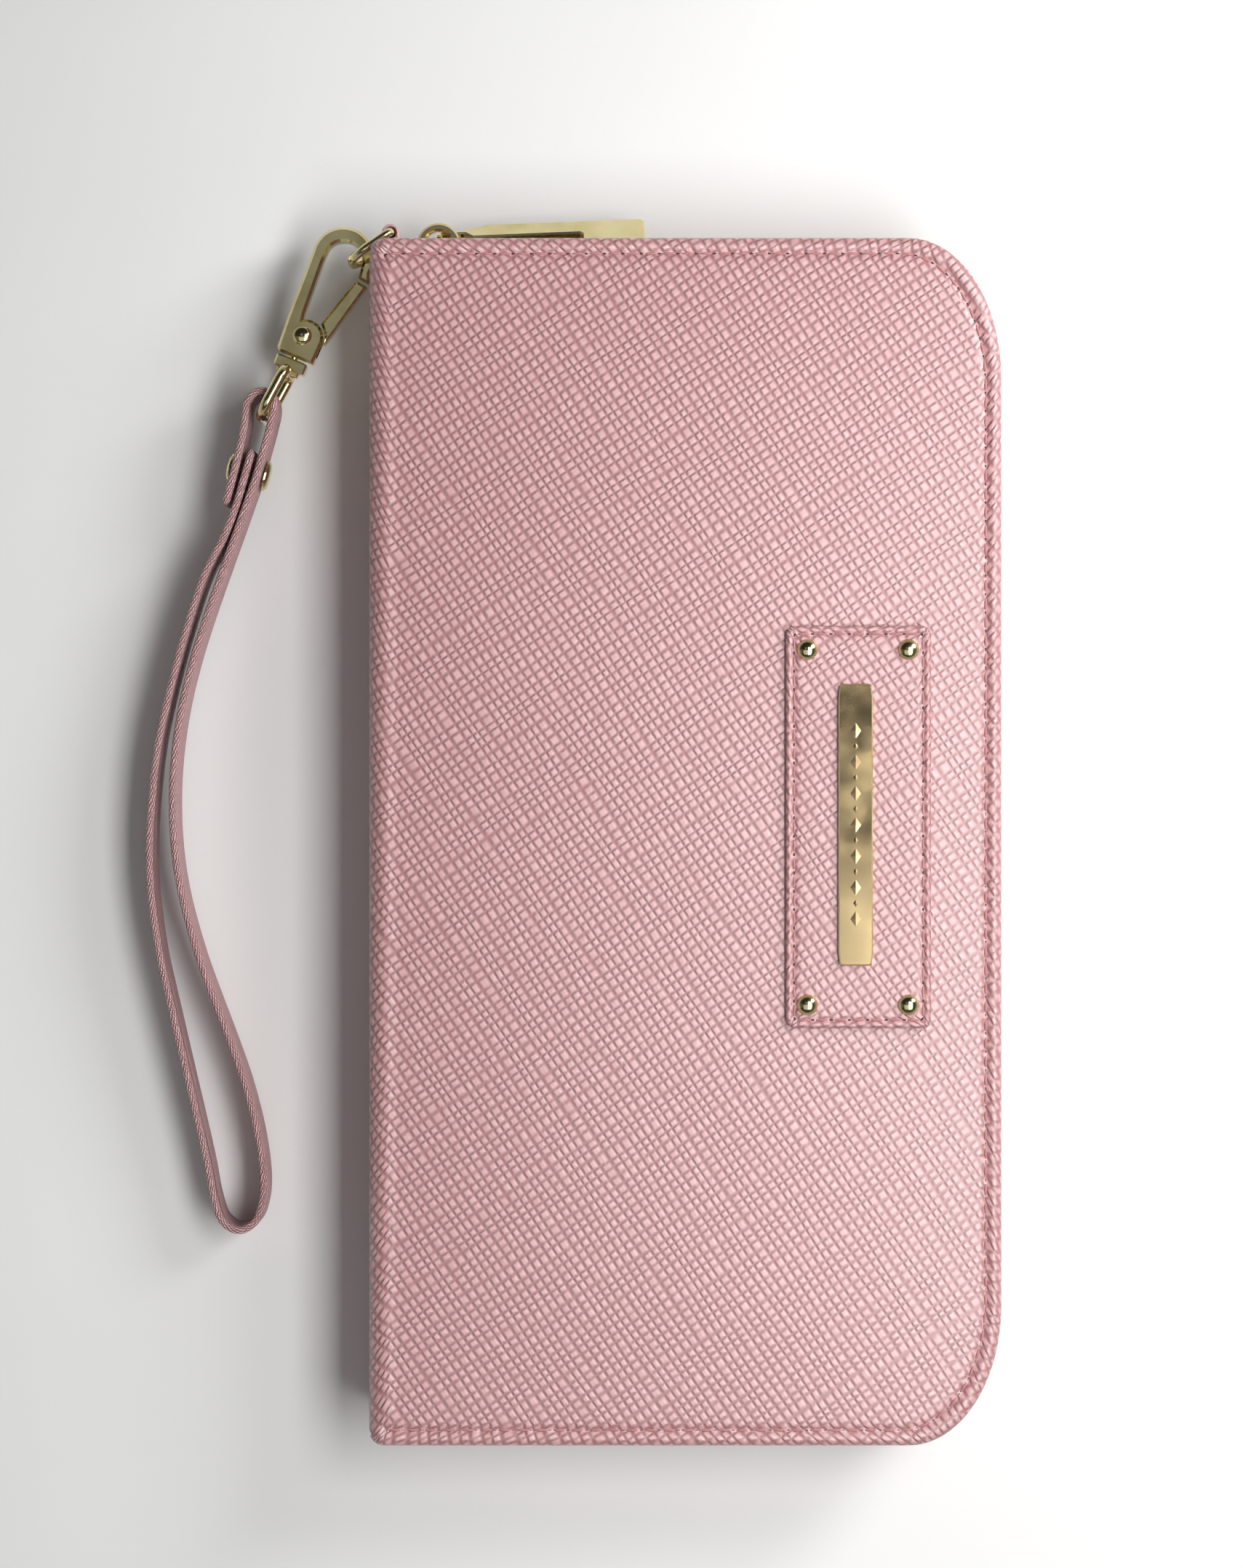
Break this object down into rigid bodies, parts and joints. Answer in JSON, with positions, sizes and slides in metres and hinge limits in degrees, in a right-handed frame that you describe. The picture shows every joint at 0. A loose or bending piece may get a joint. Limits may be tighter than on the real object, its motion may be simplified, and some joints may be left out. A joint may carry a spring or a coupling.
{
  "type": "wristlet wallet",
  "caption": "Long zip-around wallet with padded covers, stepped inner pockets, a stitched patch with a nameplate, and a leather wrist strap on a swivel trigger hook and ring.",
  "frame": {"origin": "middle of the back cover's outer face, on which the wallet lies", "axes": "+X from the spine to the open side, +Y along the wallet's length towards the zip pull and the strap's ring, +Z out of the front cover"},
  "size_m": [0.1359, 0.1949, 0.024],
  "materials": {
    "cover_leather": "pink cross-grained leather, satin",
    "patch_leather": "paler pink cross-grained leather, satin",
    "strap_leather": "dusty pink leather strap with a ribbed raw edge",
    "pocket_leather": "thin smooth pink leather",
    "lining_fabric": "fine woven lining cloth",
    "zip_tape": "woven herringbone zip tape",
    "foam": "thin foam padding",
    "board": "grey fibre stiffener board",
    "zip_metal": "polished pale gold zip teeth",
    "gold_metal": "polished pale gold plating",
    "plate_metal": "polished pale gold plate with a row of small cut marks",
    "spring_steel": "plain spring wire"
  },
  "bodies": {
    "back_half": {"back_cover": "cover_leather", "back_foam": "foam", "back_board": "board", "spine": "cover_leather", "back_lining": "lining_fabric", "slip_pocket": "pocket_leather", "card_pocket_1": "pocket_leather", "card_pocket_2": "pocket_leather", "card_pocket_3": "pocket_leather", "card_pocket_4": "pocket_leather", "zip_tape_back": "zip_tape", "zip_chain_back": "zip_metal", "zip_top_stop_back": "zip_metal", "zip_bottom_stop": "zip_metal", "ring_tab": "cover_leather"},
    "front_half": {"front_cover": "cover_leather", "front_foam": "foam", "front_board": "board", "front_lining": "lining_fabric", "phone_pocket": "pocket_leather", "zip_tape_front": "zip_tape", "zip_chain_front": "zip_metal", "zip_top_stop_front": "zip_metal", "patch": "patch_leather", "nameplate": "plate_metal", "stud_1": "gold_metal", "stud_2": "gold_metal", "stud_3": "gold_metal", "stud_4": "gold_metal"},
    "slider": {"zip_slider": "gold_metal"},
    "pull": {"zip_pull": "gold_metal"},
    "ring": {"d_ring": "gold_metal"},
    "hook": {"hook_frame": "gold_metal", "hook_rivet": "gold_metal", "gate_spring": "spring_steel"},
    "gate": {"hook_gate": "gold_metal"},
    "eye": {"swivel_eye": "gold_metal"},
    "strap": {"wrist_strap": "strap_leather", "strap_rivet_post": "gold_metal", "strap_rivet_cap": "gold_metal"}
  },
  "joints": [
    {"name": "cover_hinge", "type": "hinge", "parent": "back_half", "child": "front_half", "pos_m": [-0.0498, 0, 0.022], "axis": [0, -1, 0], "range_deg": [0, 135]},
    {"name": "zip_slide", "type": "slide", "parent": "back_half", "child": "slider", "axis": [1, 0, 0], "range_m": [0, 0.07]},
    {"name": "pull_swing", "type": "hinge", "parent": "slider", "child": "pull", "pos_m": [-0.0392, 0.0952, 0.011], "axis": [0, 0, 1], "range_deg": [0, 110]},
    {"name": "ring_swing", "type": "hinge", "parent": "back_half", "child": "ring", "pos_m": [-0.0467, 0.0967, 0.011], "axis": [0, 0, 1], "range_deg": [-90, 0]},
    {"name": "hook_swing", "type": "hinge", "parent": "ring", "child": "hook", "pos_m": [-0.05305, 0.0924, 0.011], "axis": [0, 0, 1], "range_deg": [-28, 0]},
    {"name": "gate_open", "type": "hinge", "parent": "hook", "child": "gate", "pos_m": [-0.06112, 0.08089, 0.0091], "axis": [0, 0, 1], "range_deg": [0, 20], "stiffness_Nm_per_rad": 0.02, "springref_deg": -8.59},
    {"name": "eye_swivel", "type": "hinge", "parent": "hook", "child": "eye", "pos_m": [-0.06112, 0.08089, 0.0091], "axis": [-0.3827, -0.9239, 0], "continuous": true},
    {"name": "strap_swing", "type": "hinge", "parent": "eye", "child": "strap", "pos_m": [-0.0675, 0.0678, 0.0091], "axis": [0, 0, 1], "range_deg": [-60, 5]}
  ]
}
